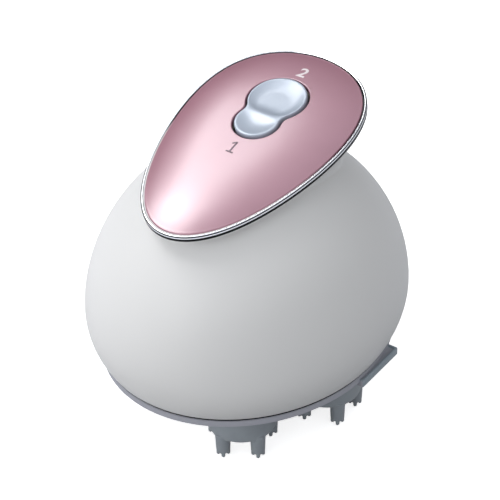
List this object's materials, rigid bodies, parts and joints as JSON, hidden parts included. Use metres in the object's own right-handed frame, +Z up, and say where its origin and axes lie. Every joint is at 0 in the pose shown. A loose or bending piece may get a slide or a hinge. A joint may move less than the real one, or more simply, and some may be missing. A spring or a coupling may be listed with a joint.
{
  "type": "electric scalp massager",
  "caption": "Hand-held electric scalp massager: a glossy dome with a tilted teardrop top, a two-lobed rocker button and turning silicone brush heads under its base.",
  "frame": {"origin": "under the middle of the body, on the plane of the finger tips", "axes": "+Z up through the dome, +Y towards the wide end of the top that hangs over, -Y towards its narrow end, +X towards the side lug"},
  "size_m": [0.109, 0.1242, 0.1168],
  "materials": {
    "pearl_shell": "glossy pearl white",
    "chrome_trim": "polished chrome plating",
    "pink_panel": "metallic pink lacquer under a clear coat",
    "rocker_silver": "silver-blue pearl lacquer",
    "base_grey": "fine satin grey",
    "silicone": "matt grey silicone",
    "seal_rubber": "matt black",
    "steel": "machined",
    "brass": "machined",
    "nylon": "natural nylon, satin",
    "board": "green solder resist",
    "cell": "blue shrink sleeve"
  },
  "bodies": {
    "body": {"dome_housing": "pearl_shell", "chrome_rim": "chrome_trim", "top_panel": "pink_panel", "rocker_pin": "steel", "button_frame": "nylon", "button_membrane": "seal_rubber", "switch_board": "board", "tact_switch_back": "steel", "tact_switch_front": "steel", "base_cover": "base_grey", "base_seal": "seal_rubber", "gearbox_plate": "steel", "motor": "steel", "idler_axle": "steel", "sun_axle": "steel", "battery_cell": "cell", "battery_holder": "nylon", "main_board": "board", "gearbox_screw_1": "steel", "gearbox_screw_2": "steel", "gearbox_screw_3": "steel", "gearbox_screw_4": "steel", "base_screw_1": "steel", "base_screw_2": "steel", "base_screw_3": "steel", "base_screw_4": "steel", "charging_contact_1": "brass", "charging_contact_2": "brass", "spindle_bush_1": "brass", "spindle_bush_2": "brass", "spindle_bush_3": "brass", "spindle_bush_4": "brass", "spindle_bush_5": "brass", "spindle_seal_1": "seal_rubber", "spindle_seal_2": "seal_rubber", "spindle_seal_3": "seal_rubber", "spindle_seal_4": "seal_rubber", "spindle_seal_5": "seal_rubber"},
    "rocker": {"rocker_button": "rocker_silver"},
    "sun": {"sun_gear": "nylon"},
    "idler": {"idler_gear": "nylon"},
    "motor_shaft": {"motor_pinion": "brass"},
    "head_1": {"brush_head_1": "silicone", "spindle_1": "steel", "planet_gear_1": "nylon"},
    "head_2": {"brush_head_2": "silicone", "spindle_2": "steel", "planet_gear_2": "nylon"},
    "head_3": {"brush_head_3": "silicone", "spindle_3": "steel", "planet_gear_3": "nylon"},
    "head_4": {"brush_head_4": "silicone", "spindle_4": "steel", "planet_gear_4": "nylon"},
    "head_5": {"brush_head_5": "silicone", "spindle_5": "steel", "planet_gear_5": "nylon"}
  },
  "joints": [
    {"name": "rocker_tilt", "type": "hinge", "parent": "body", "child": "rocker", "pos_m": [0, 0.01144, 0.1055], "axis": [1, 0, 0], "range_deg": [-3.5, 3.5], "stiffness_Nm_per_rad": 0.6},
    {"name": "sun_spin", "type": "hinge", "parent": "body", "child": "sun", "pos_m": [0, 0, 0.034], "axis": [0, 0, 1], "continuous": true},
    {"name": "idler_spin", "type": "hinge", "parent": "body", "child": "idler", "pos_m": [0.0184, 0.02044, 0.039], "axis": [0, 0, 1], "continuous": true},
    {"name": "motor_spin", "type": "hinge", "parent": "body", "child": "motor_shaft", "pos_m": [0.00575, 0.00639, 0.041], "axis": [0, 0, 1], "continuous": true},
    {"name": "head_spin_1", "type": "hinge", "parent": "body", "child": "head_1", "pos_m": [0.015, -0.02598, 0.02], "axis": [0, 0, 1], "continuous": true},
    {"name": "head_spin_2", "type": "hinge", "parent": "body", "child": "head_2", "pos_m": [0.02934, 0.00624, 0.02], "axis": [0, 0, 1], "continuous": true},
    {"name": "head_spin_3", "type": "hinge", "parent": "body", "child": "head_3", "pos_m": [0.00314, 0.02984, 0.02], "axis": [0, 0, 1], "continuous": true},
    {"name": "head_spin_4", "type": "hinge", "parent": "body", "child": "head_4", "pos_m": [-0.02741, 0.0122, 0.02], "axis": [0, 0, 1], "continuous": true},
    {"name": "head_spin_5", "type": "hinge", "parent": "body", "child": "head_5", "pos_m": [-0.02007, -0.02229, 0.02], "axis": [0, 0, 1], "continuous": true}
  ],
  "couplings": [
    {"joint": "idler_spin", "follows": "sun_spin", "ratio": -2.6667},
    {"joint": "motor_spin", "follows": "sun_spin", "ratio": 8.5333},
    {"joint": "head_spin_1", "follows": "sun_spin", "ratio": -1.5},
    {"joint": "head_spin_2", "follows": "sun_spin", "ratio": -1.5},
    {"joint": "head_spin_3", "follows": "sun_spin", "ratio": -1.5},
    {"joint": "head_spin_4", "follows": "sun_spin", "ratio": -1.5},
    {"joint": "head_spin_5", "follows": "sun_spin", "ratio": -1.5}
  ]
}
